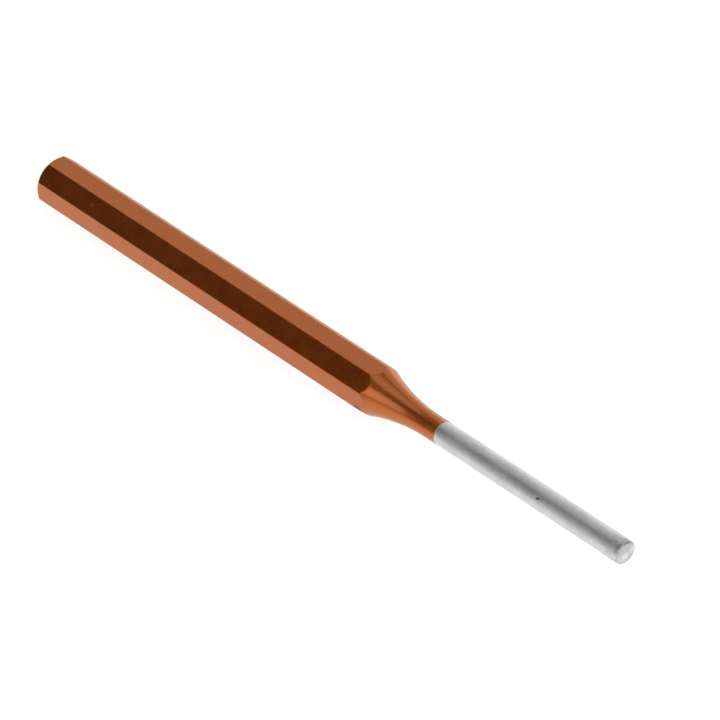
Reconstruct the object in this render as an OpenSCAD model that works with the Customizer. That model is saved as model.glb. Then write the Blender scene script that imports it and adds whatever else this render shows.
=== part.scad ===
// Pin punch: one octagonal steel bar turned down to a slim round pin, under a thin coat of copper lacquer.
// It lies on one flat of its shank. X runs along the tool, with the tip at +X and the struck end at -X,
// and +Z is up. The origin is midway along the tool, on the surface that the flat rests on.

/* [Overall] */
// Length over all, from the struck end to the tip
overall_length = 160; // [130:1:220]

/* [Shank] */
// Width of the finished octagon across its flats, over the lacquer
across_flats = 10; // [8:0.5:14]
// Depth to which the octagon's long corners are broken, measured across the corner
corner_break = 0.07; // [0.03:0.01:0.2]

/* [Struck end] */
// Depth of the chamfer round the struck end, below the flats
head_chamfer = 0.65; // [0.2:0.05:1.5]
// Angle between the slope of that chamfer and the tool's axis
head_chamfer_angle = 45; // [30:1:60]

/* [Neck] */
// Radius of the hollow arc that joins the pin to the shank
neck_radius = 40; // [20:1:60]

/* [Pin] */
// Diameter of the drive pin, a little under its nominal size so that it follows a spring pin into the hole
pin_diameter = 4.9; // [2.9:0.1:6]
// Length of the round pin, from the foot of the neck to the tip
pin_length = 51; // [40:1:70]
// Width of the chamfer round the tip
tip_chamfer = 0.28; // [0.1:0.02:0.6]

/* [Lacquer] */
// Thickness of the lacquer
lacquer = 0.08; // [0.04:0.01:0.15]
// Distance that the lacquer runs onto the pin, past the foot of the neck
lacquer_overlap = 2.8; // [0.5:0.1:10]
// Thickness to which it thins out over that distance, at its edge
lacquer_edge = 0.04; // [0.01:0.01:0.1]

/* [Quality] */
// Number of facets round each turned surface
facets = 128; // [64:16:256]

/* [Hidden] */

sides = 8;
half_side_angle = 180 / sides;
half_length = overall_length / 2;
axis_height = across_flats / 2;
pin_radius = pin_diameter / 2;

// The steel's own octagon, which the lacquer brings up to the finished size
steel_apothem = across_flats / 2 - lacquer;
steel_circumradius = steel_apothem / cos(half_side_angle);

// The neck's arc touches the pin at its foot, so its centre stands square outside that point
neck_foot_x = half_length - pin_length;
neck_centre_r = pin_radius + neck_radius;
neck_facets = 4 * facets;

// The turned outline past the foot of the neck, of the bare steel and of the lacquer
lacquer_end_x = neck_foot_x + lacquer_overlap;
steel_nose = [
    [pin_radius, half_length - tip_chamfer],
    [pin_radius - tip_chamfer, half_length],
    [0, half_length]
];
lacquer_nose = [
    [pin_radius + lacquer_edge, lacquer_end_x],
    [0, lacquer_end_x]
];

// How far cutting and clipping shapes run past what they cut
overrun = 2 * corner_break + 2 * lacquer;

// The octagonal bar with its corners broken. A skin of zero gives the steel, and a skin of the lacquer's
// thickness gives the finished shank.
module octagonal_bar(skin) {
    translate([-half_length - overrun, 0, axis_height])
        rotate([0, 90, 0])
            linear_extrude(overall_length + 2 * overrun)
                intersection() {
                    rotate(half_side_angle)
                        circle(r = (steel_apothem + skin) / cos(half_side_angle), $fn = sides);
                    circle(r = steel_circumradius - corner_break + skin, $fn = facets);
                }
}

// Half of the turned outline, with the radius along X and the place along the tool along Y. The skin lies
// all over it, so sloping edges move out square to themselves, and the hollow arc keeps its centre.
module turned_outline(skin, nose) {
    head_x = -half_length + lacquer - skin;
    clear_radius = steel_circumradius + skin + overrun;
    slope_spread = skin * (1 / cos(head_chamfer_angle) - tan(head_chamfer_angle));
    head_radius = steel_apothem - head_chamfer + slope_spread;
    slope_length = (clear_radius - head_radius) / tan(head_chamfer_angle);
    difference() {
        polygon(concat([
            [0, head_x],
            [head_radius, head_x],
            [clear_radius, head_x + slope_length],
            [clear_radius, neck_foot_x],
            [pin_radius + skin, neck_foot_x]
        ], nose));
        translate([neck_centre_r, neck_foot_x])
            circle(r = neck_radius - skin, $fn = neck_facets);
    }
}

// The punch under a skin: the octagon where the lathe leaves it, and the turned form elsewhere
module punch_form(skin, nose) {
    intersection() {
        octagonal_bar(skin);
        translate([0, 0, axis_height])
            rotate([0, 90, 0])
                rotate_extrude($fn = facets)
                    turned_outline(skin, nose);
    }
}

// The bar of tool steel: shank, neck and pin in one piece
module punch_body() {
    color("silver")
        punch_form(0, steel_nose);
}

// The jacket of lacquer, closed over the struck end and open where the bare pin leaves it
module lacquer_coat() {
    color([0.66, 0.40, 0.25])
        difference() {
            punch_form(lacquer, lacquer_nose);
            punch_form(0, steel_nose);
        }
}

punch_body();
lacquer_coat();
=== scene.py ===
import math

import bpy
import numpy as np
from mathutils import Matrix, Vector


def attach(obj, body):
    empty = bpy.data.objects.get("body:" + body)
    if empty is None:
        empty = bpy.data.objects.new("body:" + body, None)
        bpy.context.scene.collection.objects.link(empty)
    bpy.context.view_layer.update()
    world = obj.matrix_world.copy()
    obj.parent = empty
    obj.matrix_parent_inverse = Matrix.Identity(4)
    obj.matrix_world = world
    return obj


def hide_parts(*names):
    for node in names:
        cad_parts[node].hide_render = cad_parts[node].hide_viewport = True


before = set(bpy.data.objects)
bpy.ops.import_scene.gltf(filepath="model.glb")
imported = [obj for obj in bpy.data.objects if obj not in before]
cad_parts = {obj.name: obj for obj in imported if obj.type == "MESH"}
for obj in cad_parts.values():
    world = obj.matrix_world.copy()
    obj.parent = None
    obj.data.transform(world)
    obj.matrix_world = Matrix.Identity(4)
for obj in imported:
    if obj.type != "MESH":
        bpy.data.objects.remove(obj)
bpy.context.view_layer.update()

# The punch is worked out in millimetres, and this turns them into the scene's metres
MM = 0.001

# Sizes of the punch, the same as in the part's source
LENGTH = 160
ACROSS_FLATS = 10
HEAD_CHAMFER = 0.65
NECK_RADIUS = 40
PIN_RADIUS = 2.45
PIN_LENGTH = 51
TIP_CHAMFER = 0.28
LACQUER = 0.08
LACQUER_OVERLAP = 2.8
LACQUER_EDGE = 0.04

# Places that follow from them
HALF_LENGTH = LENGTH / 2
AXIS_HEIGHT = ACROSS_FLATS / 2
STEEL_APOTHEM = ACROSS_FLATS / 2 - LACQUER
NECK_FOOT = HALF_LENGTH - PIN_LENGTH
NECK_CENTRE = PIN_RADIUS + NECK_RADIUS
LACQUER_END = NECK_FOOT + LACQUER_OVERLAP
TIP_EDGE = HALF_LENGTH - TIP_CHAMFER
TIP_FACE_RADIUS = PIN_RADIUS - TIP_CHAMFER
SIDE = math.pi / 4

# Roundings that a coat of lacquer and a polished edge have
CORNER_FILLET = 0.55
RIM_FILLET = 0.16
TIP_FILLET = 0.05
LACQUER_BLEND = 0.012
STEEL_BLEND = 0.005

# The hairline between steel and coat, and the coat's edge on the pin, which swells to a bead and then drops
UNDER_GAP = 0.003
BEAD_HEIGHT = 0.012
BEAD_WIDTH = 0.3
EDGE_DROP = LACQUER_EDGE * 0.6

# Where rings of points lie, with a radius outside the whole section, and close rings over scallops and chip
CLEAR_RADIUS = 6.0
FACE_STEP = 0.4
SHANK_START = -78.2
SHOULDER_START = 11.6
SHOULDER_END = 16.4
SHOULDER_STEP = 0.06
TIP_FACE_RINGS = (2.08, 1.9, 1.5, 1.0, 0.5)

# Points on a ring: the steel's, and the jacket's on half a flat, half a flat by the chip, and a corner
STEEL_POINTS = 256
FLAT_POINTS = 10
CHIP_FLAT_POINTS = 25
CORNER_POINTS = 11
CORNER_MARGIN = 0.004

# The chip that bares the steel at the shoulder's lower corner
CHIP_X = 13.45
CHIP_ANGLE = math.radians(111.0)
CHIP_CORNER = 2.5 * SIDE

# The chip's outline, as places from its middle: along the tool, and up the front flat from the corner
CHIP_OUTLINE = [
    (-1.30, -0.22), (-0.95, 0.06), (-0.55, 0.32), (-0.10, 0.58), (0.36, 0.66), (0.76, 0.44),
    (1.10, 0.15), (1.28, -0.16), (0.95, -0.42), (0.30, -0.58), (-0.40, -0.54), (-0.95, -0.44),
]

# The small nick in the pin, a slanting dent
NICK_X = 58.88
NICK_ANGLE = math.radians(51.0)
NICK_SLANT = math.radians(30.0)
NICK_DEPTH = 0.09
NICK_LENGTH = 0.42
NICK_WIDTH = 0.17
NICK_REACH = 0.6

# Colours of the lacquer
COPPER_DEEP = (0.437, 0.0885, 0.003)
COPPER = (0.481, 0.101, 0.004)
COPPER_FLAKE = (0.605, 0.174, 0.014)
COPPER_NECK = (0.605, 0.162, 0.020)
COPPER_SCUFF = (0.30, 0.070, 0.006)
COPPER_THIN = (0.72, 0.58, 0.46)
COPPER_SPECK = (0.95, 0.34, 0.12)
COPPER_EDGE_TINT = (0.64, 0.58, 0.33, 1)

# Colours of the steel
STEEL_LOW = (0.66, 0.672, 0.683)
STEEL_HIGH = (0.74, 0.752, 0.758)
STEEL_SPECKLE = (0.56, 0.565, 0.575)
STEEL_STAIN = (0.34, 0.34, 0.34)
STEEL_FACE_LOW = (0.55, 0.555, 0.565)
STEEL_FACE_HIGH = (0.76, 0.765, 0.77)
STEEL_RIM = (0.57, 0.575, 0.585)
# Painted highlight: a bright warm rim on the pin just beyond the lacquer's edge
STEEL_PAINTED_HIGHLIGHT = (0.86, 0.83, 0.80)
# Painted shade: dark steel under the lacquer's edge, where the coat shades it
STEEL_PAINTED_SHADE = (0.17, 0.17, 0.175)
STEEL_PIT = (0.25, 0.25, 0.26)
# Painted shade: near black in the dent of the nick
STEEL_NICK_SHADE = (0.07, 0.07, 0.075)

# Stretches of the tool where one finish gives way to another
NECK_FINISH = (13.5, 16.0)
HEAD_RIM_FINISH = (-79.5, -79.2)
STAINED_TIP = (75.0, 78.5)

# Small marks: where each is, and its radius
SCUFF, SCUFF_RADIUS = (-24.0, -5.0, 4.45), 1.1
SPECK, SPECK_RADIUS = (-64.25, -3.47, 8.60), 0.7
PIT, PIT_RADIUS = (49.8, -2.23, 6.02), 0.32
# Places along the nick where shade is painted, and their radius
NICK_SHADE_SPOTS, NICK_SHADE_RADIUS = (-0.26, 0.0, 0.26), 0.36

# The floor under the lamps, as the camera sees it, and mirrored in metal from two places across the tool
FLOOR_GREY = 0.30
FLOOR_GLOW = 0.90
MIRRORED_NEAR, NEAR_Y = 0.955, -8
MIRRORED_FAR, FAR_Y = 0.55, -70

# The dim, slightly warm room
ROOM_GLOW = 0.100
ROOM_COLOUR = (1.0, 0.87, 0.90)
WHITE = (1.0, 1.0, 1.0)

# The soft boxes, in metres: middle, half a side across, half a side down, and brightness
SOFTBOXES = {
    "backdrop_low": ((-0.512, 1.31, 0.225), (-1.38, -0.91, 0.0), (-0.053, 0.080, -0.225), 1.36),
    "backdrop_high": ((-0.347, 1.13, 0.925), (-1.38, -0.91, 0.0), (-0.112, 0.17, -0.475), 0.66),
    "top_light": ((0.10, 0.04, 1.40), (0.80, 0.0, 0.0), (0.0, 0.48, 0.0), 0.70),
    "front_light": ((0.30, -1.40, 0.75), (0.80, 0.0, 0.0), (0.0, 0.0, 0.57), 1.19),
    "side_light": ((1.12, -0.24, 0.68), (0.126, 0.587, 0.0), (0.190, -0.041, -0.327), 1.35),
}

# The camera: its lens, its place in metres, and its own three axes
CAMERA_LENS = 260.6
CAMERA_SENSOR = 36
CAMERA_PLACE = (0.57174, -0.52980, 0.63628)
CAMERA_RIGHT = (0.69066, 0.72321, -0.00859)
CAMERA_UP = (-0.45088, 0.43989, 0.77672)
CAMERA_BACK = (0.56550, -0.53253, 0.62988)


def octagon(angle, apothem):
    """Radius of an octagon with filleted corners, at an angle from the top flat's normal."""
    off = np.abs(np.mod(angle + SIDE / 2, SIDE) - SIDE / 2)
    start = math.atan2((apothem - CORNER_FILLET) * math.tan(SIDE / 2), apothem)
    centre = (apothem - CORNER_FILLET) / math.cos(SIDE / 2)
    from_corner = SIDE / 2 - off
    root = np.sqrt(np.maximum(CORNER_FILLET ** 2 - (centre * np.sin(from_corner)) ** 2, 0))
    return np.where(off < start, apothem / np.cos(off), centre * np.cos(from_corner) + root)


def soft_min(a, b, blend):
    """The smaller of two radii, with the crease between them rounded over."""
    low = np.minimum(a, b)
    return low - blend * np.log(np.exp(-(a - low) / blend) + np.exp(-(b - low) / blend))


def turned(x, skin):
    """Radius of the neck and the pin under a skin, at places along the tool."""
    reach = NECK_RADIUS - skin
    # Far back on the shank the arc's root would fail, and there only the octagon counts
    run = np.clip(NECK_FOOT - x, 0, reach * 0.98)
    on_neck = NECK_CENTRE - np.sqrt(reach ** 2 - run ** 2)
    thinning = (skin - LACQUER_EDGE) / LACQUER_OVERLAP if skin else 0
    on_pin = PIN_RADIUS + skin - thinning * (x - NECK_FOOT)
    return np.minimum(np.where(x < NECK_FOOT, on_neck, on_pin), CLEAR_RADIUS)


def punch_radius(x, angle, lathe, skin, blend):
    """Radius of the punch under a skin. Lathe is a ring's turned radius, or None on the neck and the pin."""
    round_bar = turned(x, skin) if lathe is None else np.full(len(angle), lathe)
    return soft_min(round_bar, octagon(angle, STEEL_APOTHEM + skin), blend)


def spaced(start, end, step):
    """Even places from start up to, and without, end."""
    count = max(1, round(abs(end - start) / step))
    return list(np.linspace(start, end, count, endpoint=False))


def rings_over(*runs):
    """Rings at even places over runs of start, end and step. Their turned radius is that of neck and pin."""
    return [(x, None) for run in runs for x in spaced(*run)]


def arc_corner(before, corner, after, fillet, count):
    """Points of a fillet at the corner of a bent line of (x, radius) points."""
    corner = np.array(corner, float)
    into = np.array(before) - corner
    out = np.array(after) - corner
    into = into / np.linalg.norm(into)
    out = out / np.linalg.norm(out)
    half = math.acos(np.clip(into @ out, -1, 1)) / 2
    middle = corner + (into + out) / np.linalg.norm(into + out) * fillet / math.sin(half)
    first = corner + into * fillet / math.tan(half) - middle
    last = corner + out * fillet / math.tan(half) - middle
    turn = math.pi - 2 * half
    points = []
    for i in range(count + 1):
        share = i / count
        a = math.sin((1 - share) * turn) / math.sin(turn)
        b = math.sin(share * turn) / math.sin(turn)
        points.append(tuple(middle + a * first + b * last))
    return points


def head_rings(skin, step):
    """Rings of the struck face, its chamfer and the run into the shank, as (x, turned radius)."""
    face_x = -HALF_LENGTH + LACQUER - skin
    rim = STEEL_APOTHEM - HEAD_CHAMFER + skin * (math.sqrt(2) - 1)
    slope_end = (face_x + CLEAR_RADIUS - rim, CLEAR_RADIUS)
    rings = [(face_x, radius) for radius in spaced(FACE_STEP, rim - 2 * RIM_FILLET, FACE_STEP)]
    rings += arc_corner((face_x, 0), (face_x, rim), slope_end, RIM_FILLET, 6)
    slope = spaced(rings[-1][0], slope_end[0], step)[1:]
    return rings + [(x, rim + x - face_x) for x in slope]


def tip_rings():
    """Rings of the tip's chamfer, with a fillet at both its edges, and of the flat end."""
    chamfer_start, chamfer_end = (TIP_EDGE, PIN_RADIUS), (HALF_LENGTH, TIP_FACE_RADIUS)
    rings = arc_corner((HALF_LENGTH - 2, PIN_RADIUS), chamfer_start, chamfer_end, TIP_FILLET, 4)
    rings += arc_corner(chamfer_start, chamfer_end, (HALF_LENGTH, 0), TIP_FILLET, 4)
    return rings + [(HALF_LENGTH, radius) for radius in TIP_FACE_RINGS]


class Shell:
    """The points, in millimetres, and the faces of one piece. A face's normal points out of the solid."""

    def __init__(self):
        self.points = []
        self.faces = []

    def ring(self, x, angle, radius):
        """Add points round the axis, at angles from the top, and give their indices."""
        start = len(self.points)
        x = np.broadcast_to(x, radius.shape)
        placed = np.stack([x, -radius * np.sin(angle), AXIS_HEIGHT + radius * np.cos(angle)], axis=-1)
        self.points.extend(map(tuple, placed))
        return list(range(start, len(self.points)))

    def band(self, low, high, flip=False, skipped=None):
        """Add quads between two rings, apart from those at the places that are skipped."""
        for j in range(len(low)):
            if skipped is not None and skipped[j]:
                continue
            k = (j + 1) % len(low)
            face = (low[j], low[k], high[k], high[j])
            self.faces.append(face[::-1] if flip else face)

    def cap(self, x, ring, flip):
        """Close a ring with triangles to a point on the axis."""
        pole = len(self.points)
        self.points.append((x, 0.0, float(AXIS_HEIGHT)))
        for j in range(len(ring)):
            face = (pole, ring[j], ring[(j + 1) % len(ring)])
            self.faces.append(face[::-1] if flip else face)

    def drop_unused(self):
        """Leave out the points that no face uses."""
        used = sorted({index for face in self.faces for index in face})
        renumber = {old: new for new, old in enumerate(used)}
        self.points = [self.points[old] for old in used]
        self.faces = [tuple(renumber[index] for index in face) for face in self.faces]

    def make(self, name, material):
        """The piece as a smooth-shaded object, which rides on the part's one body."""
        mesh = bpy.data.meshes.new(name)
        mesh.from_pydata([tuple(p * MM for p in point) for point in self.points], [], self.faces)
        mesh.materials.append(material)
        mesh.polygons.foreach_set("use_smooth", [True] * len(mesh.polygons))
        mesh.validate()
        mesh.update()
        obj = bpy.data.objects.new(name, mesh)
        bpy.context.scene.collection.objects.link(obj)
        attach(obj, "root")
        return obj


class JacketSide:
    """The outer or the inner side of the jacket: its rings, and where each of its vertices lies."""

    def __init__(self, skin, rings, angle):
        ring_x = np.array([x for x, _ in rings])
        self.skin = skin
        self.rings = rings
        self.x = np.repeat(ring_x[:, None], len(angle), axis=1)
        self.angle = np.repeat(angle[None, :], len(rings), axis=0)
        self.shoulder = int(np.argmin(np.abs(ring_x - SHOULDER_START)))

    def add_to(self, shell, beaded):
        """Add the vertices to a shell, and give their indices ring by ring."""
        made = []
        for x, angle, (_, lathe) in zip(self.x, self.angle, self.rings):
            radius = punch_radius(x, angle, lathe, self.skin, LACQUER_BLEND)
            if beaded:
                share = np.clip((x - LACQUER_END + BEAD_WIDTH) / BEAD_WIDTH, 0, 1)
                radius = radius + BEAD_HEIGHT * np.sin(share * math.pi) ** 2
                radius = radius - EDGE_DROP * np.clip(share * 3 - 2, 0, 1) ** 3
            made.append(shell.ring(x, angle, radius))
        return made


def jacket_angles():
    """Places round the section: close together on the corners, and closest on the flats by the chip."""
    start = math.atan2((ACROSS_FLATS / 2 - CORNER_FILLET) * math.tan(SIDE / 2), ACROSS_FLATS / 2)
    corner = list(np.linspace(start, SIDE - start, CORNER_POINTS)[1:-1])
    places = []
    for flat in range(8):
        middle = flat * SIDE
        on_flat = []
        for side in (-1, 1):
            by_chip = math.isclose(middle + side * SIDE / 2, CHIP_CORNER)
            count = CHIP_FLAT_POINTS if by_chip else FLAT_POINTS
            on_flat += list(np.linspace(min(side * start, 0), max(side * start, 0), count))
        on_flat = list(set(np.round(on_flat, 9))) + [-start + CORNER_MARGIN, start - CORNER_MARGIN]
        places += [middle + place for place in on_flat + corner]
    return np.array(sorted(places))


def jacket_sides():
    """The outer and the inner side. Along the shoulder their rings are at the same places, for the chip."""
    angle = jacket_angles()
    shoulder = (SHOULDER_START, SHOULDER_END, SHOULDER_STEP)
    bead_start = LACQUER_END - BEAD_WIDTH
    outer = head_rings(LACQUER, 0.045) + rings_over(
        (SHANK_START, SHOULDER_START, 4.0), shoulder, (SHOULDER_END, NECK_FOOT, 0.25),
        (NECK_FOOT, bead_start, 0.4), (bead_start, LACQUER_END, 0.03))
    inner = head_rings(UNDER_GAP, 0.2) + rings_over(
        (SHANK_START, SHOULDER_START, 8.0), shoulder, (SHOULDER_END, NECK_FOOT, 0.5),
        (NECK_FOOT, LACQUER_END, 0.7))
    inner.append((LACQUER_END, None))
    return JacketSide(LACQUER, outer, angle), JacketSide(UNDER_GAP, inner, angle)


def inside(u, v, outline):
    """Whether points lie in a closed outline."""
    result = np.zeros(u.shape, bool)
    for (u0, v0), (u1, v1) in zip(outline, outline[1:] + outline[:1]):
        crosses = (v0 > v) != (v1 > v)
        with np.errstate(divide="ignore", invalid="ignore"):
            at = u0 + (v - v0) * (u1 - u0) / (v1 - v0)
        result ^= crosses & (u < at)
    return result


def nearest_on(u, v, outline):
    """The point of a closed outline nearest to one point."""
    best, found = None, None
    for (u0, v0), (u1, v1) in zip(outline, outline[1:] + outline[:1]):
        du, dv = u1 - u0, v1 - v0
        share = min(1, max(0, ((u - u0) * du + (v - v0) * dv) / (du * du + dv * dv)))
        point = (u0 + share * du, v0 + share * dv)
        far = (point[0] - u) ** 2 + (point[1] - v) ** 2
        if best is None or far < best:
            best, found = far, point
    return found


def rim_vertices(hole):
    """Vertices that have cells of the hole and other cells beside them."""
    cells_beside = {}
    for i, j in zip(*np.nonzero(hole)):
        k = (j + 1) % hole.shape[1]
        for vertex in ((i, j), (i + 1, j), (i, k), (i + 1, k)):
            cells_beside[vertex] = cells_beside.get(vertex, 0) + 1
    return [vertex for vertex, cells in cells_beside.items() if cells < 4]


def cut_chip(outer, inner):
    """The shoulder's cells that the chip takes out. The vertices round them move onto its outline."""
    rows = len(spaced(SHOULDER_START, SHOULDER_END, SHOULDER_STEP))
    shoulder = slice(outer.shoulder, outer.shoulder + rows)
    reach = octagon(np.array([CHIP_ANGLE]), ACROSS_FLATS / 2)[0]
    u = outer.x[shoulder] - CHIP_X
    v = (CHIP_ANGLE - outer.angle[shoulder]) * reach
    middle_u = (u[:-1] + u[1:]) / 2
    middle_v = (v[:-1] + np.roll(v, -1, axis=1)[:-1]) / 2
    # The last column reaches round to the first, where the angle starts again
    middle_v[:, -1] = v[:-1, -1]
    hole = inside(middle_u, middle_v, CHIP_OUTLINE)
    for i, j in rim_vertices(hole):
        new_u, new_v = nearest_on(u[i, j], v[i, j], CHIP_OUTLINE)
        for side in (outer, inner):
            side.x[side.shoulder + i, j] = CHIP_X + new_u
            side.angle[side.shoulder + i, j] = CHIP_ANGLE - new_v / reach
    return hole


def wall_chip(shell, hole, rows_out, rows_in):
    """Faces between the jacket's two sides, round the chip. The rows start at the shoulder."""
    rows, count = hole.shape
    for i, j in zip(*np.nonzero(hole)):
        k = (j + 1) % count
        for (di, dj), a, b in (
            ((-1, 0), (i, j), (i, k)), ((1, 0), (i + 1, k), (i + 1, j)),
            ((0, -1), (i + 1, j), (i, j)), ((0, 1), (i, k), (i + 1, k)),
        ):
            ni, nj = i + di, (j + dj) % count
            if 0 <= ni < rows and hole[ni, nj]:
                continue
            top_a, top_b = rows_out[a[0]][a[1]], rows_out[b[0]][b[1]]
            low_a, low_b = rows_in[a[0]][a[1]], rows_in[b[0]][b[1]]
            shell.faces.append((top_a, top_b, low_b, low_a))


def lacquer_jacket(material):
    """The coat of lacquer: a closed shell with its own thickness, a beaded edge and the chip."""
    outer, inner = jacket_sides()
    hole = cut_chip(outer, inner)
    shell = Shell()
    rows_out = outer.add_to(shell, True)
    rows_in = inner.add_to(shell, False)
    for side, rows, flip in ((outer, rows_out, False), (inner, rows_in, True)):
        for i, (low, high) in enumerate(zip(rows, rows[1:])):
            at = i - side.shoulder
            shell.band(low, high, flip, hole[at] if 0 <= at < len(hole) else None)

    # The edge on the pin, the rim of the chip and the middle of the struck face close the shell
    shell.band(rows_out[-1], rows_in[-1])
    wall_chip(shell, hole, rows_out[outer.shoulder:], rows_in[inner.shoulder:])
    shell.cap(outer.rings[0][0], rows_out[0], True)
    shell.cap(inner.rings[0][0], rows_in[0], False)
    shell.drop_unused()
    return shell.make("lacquer_jacket", material)


def nick_depth(x, angle):
    """Depth of the nick at places round the pin."""
    off_x, off_a = x - NICK_X, PIN_RADIUS * (angle - NICK_ANGLE)
    lengthwise = (off_x * math.cos(NICK_SLANT) - off_a * math.sin(NICK_SLANT)) / NICK_LENGTH
    crosswise = (off_x * math.sin(NICK_SLANT) + off_a * math.cos(NICK_SLANT)) / NICK_WIDTH
    return NICK_DEPTH * np.exp(-lengthwise ** 2 - crosswise ** 2)


def steel_bar(material):
    """The steel itself: hidden shank, the corner that the chip bares, neck, pin, nick and tip."""
    nick_start, nick_end = NICK_X - NICK_REACH, NICK_X + NICK_REACH
    rings = head_rings(0, 0.3) + rings_over(
        (SHANK_START, SHOULDER_START, 9.0), (SHOULDER_START, SHOULDER_END, 0.15),
        (SHOULDER_END, NECK_FOOT, 0.5), (NECK_FOOT, nick_start, 1.5), (nick_start, nick_end, 0.05),
        (nick_end, TIP_EDGE - 2 * TIP_FILLET, 1.2))
    rings += [(TIP_EDGE - TIP_FILLET, None)] + tip_rings()

    angle = np.linspace(0, 2 * math.pi, STEEL_POINTS, endpoint=False)
    shell = Shell()
    rows = []
    for x, lathe in rings:
        radius = punch_radius(np.full(len(angle), x), angle, lathe, 0, STEEL_BLEND)
        rows.append(shell.ring(x, angle, radius - nick_depth(x, angle)))
    for low, high in zip(rows, rows[1:]):
        shell.band(low, high)
    shell.cap(rings[0][0], rows[0], True)
    shell.cap(HALF_LENGTH, rows[-1], False)
    return shell.make("steel_bar", material)


class Nodes:
    """A node tree, with a short call for each kind of node that the materials use."""

    def __init__(self, tree):
        self.tree = tree

    def new(self, kind):
        """A node of one kind."""
        return self.tree.nodes.new(kind)

    def feed(self, socket, value):
        """Give an input a number, a colour or a link."""
        if isinstance(value, (int, float)):
            socket.default_value = value
        elif isinstance(value, tuple):
            socket.default_value = (*value, 1.0)
        else:
            self.tree.links.new(value, socket)

    def place(self):
        """Where a point lies on its object."""
        return self.new("ShaderNodeTexCoord").outputs["Object"]

    def component(self, vector, axis):
        """One component of a vector."""
        node = self.new("ShaderNodeSeparateXYZ")
        self.feed(node.inputs[0], vector)
        return node.outputs[axis]

    def noise(self, vector, scale, detail=3.0, rough=0.55):
        """A noise texture on a vector."""
        node = self.new("ShaderNodeTexNoise")
        self.feed(node.inputs["Vector"], vector)
        self.feed(node.inputs["Scale"], scale)
        self.feed(node.inputs["Detail"], detail)
        self.feed(node.inputs["Roughness"], rough)
        return node.outputs["Fac"]

    def stretched(self, vector, scale):
        """A vector scaled differently along each axis."""
        node = self.new("ShaderNodeMapping")
        self.feed(node.inputs["Vector"], vector)
        node.inputs["Scale"].default_value = scale
        return node.outputs["Vector"]

    def remap(self, value, low, high, to_low=0.0, to_high=1.0, smooth=False):
        """A value moved from one range to another."""
        node = self.new("ShaderNodeMapRange")
        node.interpolation_type = "SMOOTHSTEP" if smooth else "LINEAR"
        self.feed(node.inputs["Value"], value)
        self.feed(node.inputs["From Min"], low)
        self.feed(node.inputs["From Max"], high)
        self.feed(node.inputs["To Min"], to_low)
        self.feed(node.inputs["To Max"], to_high)
        return node.outputs["Result"]

    def run(self, along, start, end, to_start=0.0, to_end=1.0, smooth=False):
        """A value that changes between two places along an axis, in millimetres."""
        return self.remap(along, start * MM, end * MM, to_start, to_end, smooth)

    def spot(self, vector, centre, radius):
        """A soft round mask about a place in millimetres: 1 in its middle and 0 at its radius."""
        node = self.new("ShaderNodeVectorMath")
        node.operation = "DISTANCE"
        self.feed(node.inputs[0], vector)
        node.inputs[1].default_value = tuple(c * MM for c in centre)
        return self.run(node.outputs["Value"], 0.0, radius, 1.0, 0.0, smooth=True)

    def calculate(self, operation, first, second):
        """One math node."""
        node = self.new("ShaderNodeMath")
        node.operation = operation
        self.feed(node.inputs[0], first)
        self.feed(node.inputs[1], second)
        return node.outputs[0]

    def blend(self, factor, first, second):
        """A colour between two."""
        node = self.new("ShaderNodeMix")
        node.data_type = "RGBA"
        self.feed(node.inputs[0], factor)
        self.feed(node.inputs[6], first)
        self.feed(node.inputs[7], second)
        return node.outputs[2]

    def blend_values(self, factor, first, second):
        """A value between two."""
        node = self.new("ShaderNodeMix")
        node.data_type = "FLOAT"
        self.feed(node.inputs[0], factor)
        self.feed(node.inputs[2], first)
        self.feed(node.inputs[3], second)
        return node.outputs[0]

    def tint(self, tone, mask, strength, colour):
        """A tone drawn towards a colour under a mask."""
        return self.blend(self.calculate("MULTIPLY", mask, strength), tone, colour)

    def bump(self, height, distance, strength, normal=None):
        """A bump on a height, with its distance in millimetres. It can follow another bump."""
        node = self.new("ShaderNodeBump")
        self.feed(node.inputs["Strength"], strength)
        self.feed(node.inputs["Distance"], distance * MM)
        self.feed(node.inputs["Height"], height)
        if normal is not None:
            self.feed(node.inputs["Normal"], normal)
        return node.outputs["Normal"]


def new_material(name):
    """An empty node material, its nodes and its principled shader's inputs."""
    material = bpy.data.materials.new(name)
    material.use_nodes = True
    return material, Nodes(material.node_tree), material.node_tree.nodes["Principled BSDF"].inputs


def lacquer_colour(nodes, place, along, on_neck, clouds, flakes):
    """Clouds and flakes, the lighter neck, a scuff and a speck, and the thin edge on the pin."""
    tone = nodes.blend(nodes.remap(clouds, 0.35, 0.65), COPPER_DEEP, COPPER)
    tone = nodes.blend(nodes.remap(flakes, 0.42, 0.70, 0, 0.6, True), tone, COPPER_FLAKE)
    tone = nodes.tint(tone, nodes.spot(place, SCUFF, SCUFF_RADIUS), 0.3, COPPER_SCUFF)
    tone = nodes.tint(tone, on_neck, 0.4, COPPER_NECK)
    thin_edge = nodes.run(along, LACQUER_END - 0.16, LACQUER_END - 0.04, 0, 0.75, True)
    tone = nodes.blend(thin_edge, tone, COPPER_THIN)
    return nodes.tint(tone, nodes.spot(place, SPECK, SPECK_RADIUS), 0.6, COPPER_SPECK)


def lacquer_gloss(nodes, along, on_neck):
    """Weight of the clear coat: by the slant a flat is seen at, and high on neck and struck end's rim."""
    facing = nodes.new("ShaderNodeLayerWeight").outputs["Facing"]
    on_flats = nodes.calculate("MULTIPLY", nodes.remap(facing, 0.12, 0.38, 0.55, 0.88, True),
                               nodes.remap(facing, 0.54, 0.80, 1, 0.12, True))
    at_ends = nodes.calculate("MAXIMUM", on_neck, nodes.run(along, *HEAD_RIM_FINISH, 1, 0))
    return nodes.calculate("MAXIMUM", on_flats, nodes.calculate("MULTIPLY", at_ends, 0.9))


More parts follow.
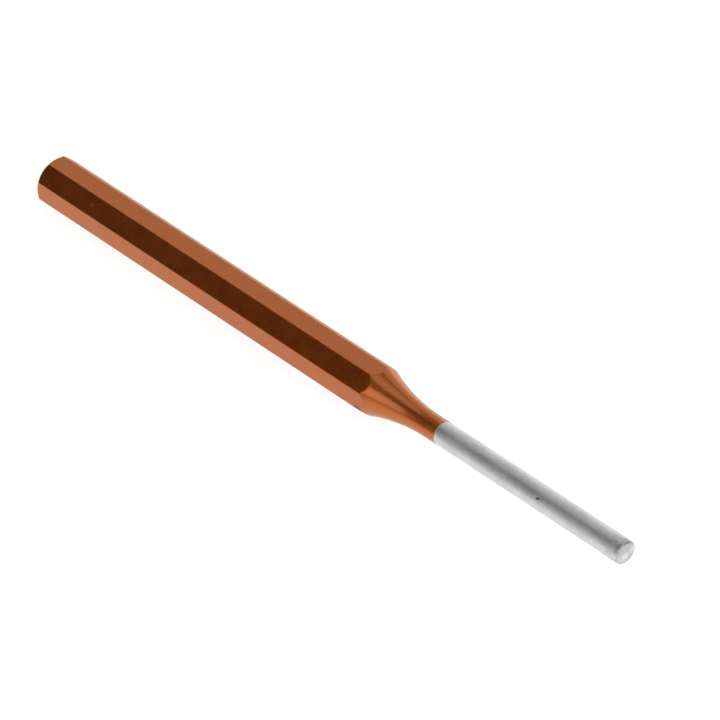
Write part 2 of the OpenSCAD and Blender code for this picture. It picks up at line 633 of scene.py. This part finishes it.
def copper_lacquer():
    """Metallic copper lacquer: fine flakes, drawn-bar lines on the flats and turned rings on the neck."""
    material, nodes, shader = new_material("copper_lacquer")
    place = nodes.place()
    along = nodes.component(place, "X")
    on_neck = nodes.run(along, *NECK_FINISH, smooth=True)
    flakes = nodes.noise(place, 3600, 2.0)
    clouds = nodes.noise(place, 260)
    drawn_lines = nodes.noise(nodes.stretched(place, (0.05, 1, 1)), 2400)
    turned_rings = nodes.noise(nodes.stretched(place, (1, 0.03, 0.03)), 3600)

    shader["Metallic"].default_value = 0.92
    shader["Specular Tint"].default_value = COPPER_EDGE_TINT
    shader["Coat Roughness"].default_value = 0.12
    shader["Coat IOR"].default_value = 1.5
    nodes.feed(shader["Base Color"], lacquer_colour(nodes, place, along, on_neck, clouds, flakes))
    nodes.feed(shader["Coat Weight"], lacquer_gloss(nodes, along, on_neck))
    nodes.feed(shader["Roughness"], nodes.calculate(
        "ADD", nodes.remap(clouds, 0.3, 0.7, 0.27, 0.34), nodes.calculate("MULTIPLY", on_neck, 0.065)))
    relief = nodes.bump(nodes.blend_values(on_neck, drawn_lines, turned_rings), 0.006, 0.5)
    nodes.feed(shader["Normal"], nodes.bump(flakes, 0.005, 0.3, relief))
    return material


def tip_colour(nodes, tone, along, smears, blotches):
    """A tone with the tip's stains, its mottled end face and the rim of its chamfer."""
    stain = nodes.calculate("MULTIPLY", nodes.run(along, *STAINED_TIP, smooth=True),
                            nodes.remap(smears, 0.46, 0.62, 0, 0.5, True))
    tone = nodes.blend(stain, tone, STEEL_STAIN)
    worn = nodes.blend(nodes.remap(blotches, 0.42, 0.60), STEEL_FACE_LOW, STEEL_FACE_HIGH)
    tone = nodes.blend(nodes.run(along, HALF_LENGTH - 0.10, HALF_LENGTH - 0.04), tone, worn)
    rim = nodes.calculate("MULTIPLY", nodes.run(along, HALF_LENGTH - 0.32, HALF_LENGTH - 0.26),
                          nodes.run(along, HALF_LENGTH - 0.08, HALF_LENGTH - 0.03, 1, 0))
    return nodes.blend(rim, tone, STEEL_RIM)


def nick_shade_places():
    """Three places along the nick, on the pin's surface, where shade is painted."""
    for shift in NICK_SHADE_SPOTS:
        turn = NICK_ANGLE - shift * math.sin(NICK_SLANT) / PIN_RADIUS
        yield (NICK_X + shift * math.cos(NICK_SLANT), -PIN_RADIUS * math.sin(turn),
               AXIS_HEIGHT + PIN_RADIUS * math.cos(turn))


def steel_colour(nodes, place, along, blotches):
    """Blotches and speckle, the tip, a painted highlight beside the lacquer's edge, painted shade under it, a
    pit and painted shade in the nick.
    """
    speckle = nodes.noise(place, 3000, 2.0)
    smears = nodes.noise(nodes.stretched(place, (0.7, 0.6, 0.6)), 1700)
    tone = nodes.blend(nodes.remap(blotches, 0.35, 0.65), STEEL_LOW, STEEL_HIGH)
    tone = nodes.blend(nodes.remap(speckle, 0.40, 0.70, 0, 0.5), tone, STEEL_SPECKLE)
    tone = tip_colour(nodes, tone, along, smears, blotches)
    # Painted highlight: a bright rim on the pin just beyond the lacquer's edge
    painted_highlight = nodes.run(along, LACQUER_END + 0.15, LACQUER_END + 0.4, 0.6, 0, True)
    tone = nodes.blend(painted_highlight, tone, STEEL_PAINTED_HIGHLIGHT)
    # Painted shade: the steel under the lacquer's edge is darkened
    painted_shade = nodes.run(along, LACQUER_END - 0.3, LACQUER_END - 0.1, 1, 0)
    tone = nodes.blend(painted_shade, tone, STEEL_PAINTED_SHADE)
    tone = nodes.tint(tone, nodes.spot(place, PIT, PIT_RADIUS), 0.6, STEEL_PIT)
    # Painted shade: the nick's dent is darkened nearly to black
    for centre in nick_shade_places():
        tone = nodes.blend(nodes.spot(place, centre, NICK_SHADE_RADIUS), tone, STEEL_NICK_SHADE)
    return tone


def bare_steel():
    """Ground tool steel: satin, with fine rings round the pin, stains near the tip and a mottled end face."""
    material, nodes, shader = new_material("bare_steel")
    place = nodes.place()
    along = nodes.component(place, "X")
    grain = nodes.noise(nodes.stretched(place, (1, 0.06, 0.06)), 4200)
    blotches = nodes.noise(place, 620, 4.0, 0.6)
    clouds = nodes.noise(place, 170, 2.0)

    shader["Metallic"].default_value = 1.0
    nodes.feed(shader["Base Color"], steel_colour(nodes, place, along, blotches))
    nodes.feed(shader["Roughness"], nodes.remap(clouds, 0.3, 0.7, 0.46, 0.54))
    nodes.feed(shader["Normal"], nodes.bump(blotches, 0.012, 0.45, nodes.bump(grain, 0.004, 0.35)))
    return material


def pale_floor():
    """White to the camera and in mirror images, and grey under the lamps, so that it takes a shadow."""
    material = bpy.data.materials.new("pale_floor")
    material.use_nodes = True
    material.node_tree.nodes.clear()
    nodes = Nodes(material.node_tree)
    rays = nodes.new("ShaderNodeLightPath").outputs
    seen = nodes.calculate("MAXIMUM", rays["Is Camera Ray"], rays["Is Transmission Ray"])
    seen = nodes.calculate("MULTIPLY", seen, FLOOR_GLOW)
    fade = nodes.run(nodes.component(nodes.place(), "Y"), FAR_Y, NEAR_Y, MIRRORED_FAR, MIRRORED_NEAR)
    mirrored = nodes.calculate("MULTIPLY", rays["Is Glossy Ray"], fade)

    glow = nodes.new("ShaderNodeEmission")
    nodes.feed(glow.inputs["Color"], WHITE)
    nodes.feed(glow.inputs["Strength"], nodes.calculate("ADD", seen, mirrored))
    diffuse = nodes.new("ShaderNodeBsdfDiffuse")
    nodes.feed(diffuse.inputs["Color"], (FLOOR_GREY, FLOOR_GREY, FLOOR_GREY))
    both = nodes.new("ShaderNodeAddShader")
    nodes.feed(both.inputs[0], diffuse.outputs[0])
    nodes.feed(both.inputs[1], glow.outputs[0])
    nodes.feed(nodes.new("ShaderNodeOutputMaterial").inputs["Surface"], both.outputs[0])
    return material


def white_floor():
    """A wide plain floor, a hair below the punch."""
    reach, below = 4.0, -0.02 * MM
    mesh = bpy.data.meshes.new("floor")
    mesh.from_pydata([(-reach, -reach, below), (reach, -reach, below), (reach, reach, below),
                      (-reach, reach, below)], [], [(0, 1, 2, 3)])
    mesh.materials.append(pale_floor())
    floor = bpy.data.objects.new("floor", mesh)
    bpy.context.scene.collection.objects.link(floor)


def softbox(name, centre, across, down, radiance):
    """A rectangular lamp about a centre, with its two half sides, that faces the punch."""
    centre, across, down = Vector(centre), Vector(across), Vector(down)
    light = bpy.data.lights.new(name, "AREA")
    light.shape = "RECTANGLE"
    light.size, light.size_y = 2 * across.length, 2 * down.length
    light.energy = radiance * math.pi * light.size * light.size_y
    facing = across.cross(down).normalized()
    if facing.dot(-centre) < 0:
        across = -across
        facing = -facing
    lamp = bpy.data.objects.new(name, light)
    turn = Matrix((across.normalized(), -down.normalized(), -facing)).transposed()
    lamp.matrix_world = Matrix.Translation(centre) @ turn.to_4x4()
    lamp.visible_camera = False
    bpy.context.scene.collection.objects.link(lamp)


def room():
    """A dim room, which the camera sees as white."""
    world = bpy.data.worlds.new("room")
    world.use_nodes = True
    nodes = Nodes(world.node_tree)
    background = world.node_tree.nodes["Background"].inputs
    seen = nodes.new("ShaderNodeLightPath").outputs["Is Camera Ray"]
    nodes.feed(background["Color"], nodes.blend(seen, ROOM_COLOUR, WHITE))
    nodes.feed(background["Strength"], nodes.remap(seen, 0, 1, ROOM_GLOW, 1))
    bpy.context.scene.world = world


def camera():
    """The photograph's viewpoint: a long lens from the tip's side, looking down at the punch."""
    data = bpy.data.cameras.new("camera")
    data.sensor_width = CAMERA_SENSOR
    data.lens = CAMERA_LENS
    data.clip_start, data.clip_end = 0.05, 20
    obj = bpy.data.objects.new("camera", data)
    turn = Matrix((CAMERA_RIGHT, CAMERA_UP, CAMERA_BACK)).transposed()
    obj.matrix_world = Matrix.Translation(CAMERA_PLACE) @ turn.to_4x4()
    bpy.context.scene.collection.objects.link(obj)
    bpy.context.scene.camera = obj


def build():
    """The dressed punch on its floor, with its camera and lights."""
    bpy.context.scene.view_settings.view_transform = "Standard"
    camera()
    for name, (centre, across, down, radiance) in SOFTBOXES.items():
        softbox(name, centre, across, down, radiance)
    room()
    white_floor()
    steel = steel_bar(bare_steel())
    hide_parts("punch_body")
    jacket = lacquer_jacket(copper_lacquer())
    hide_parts("lacquer_coat")


build()
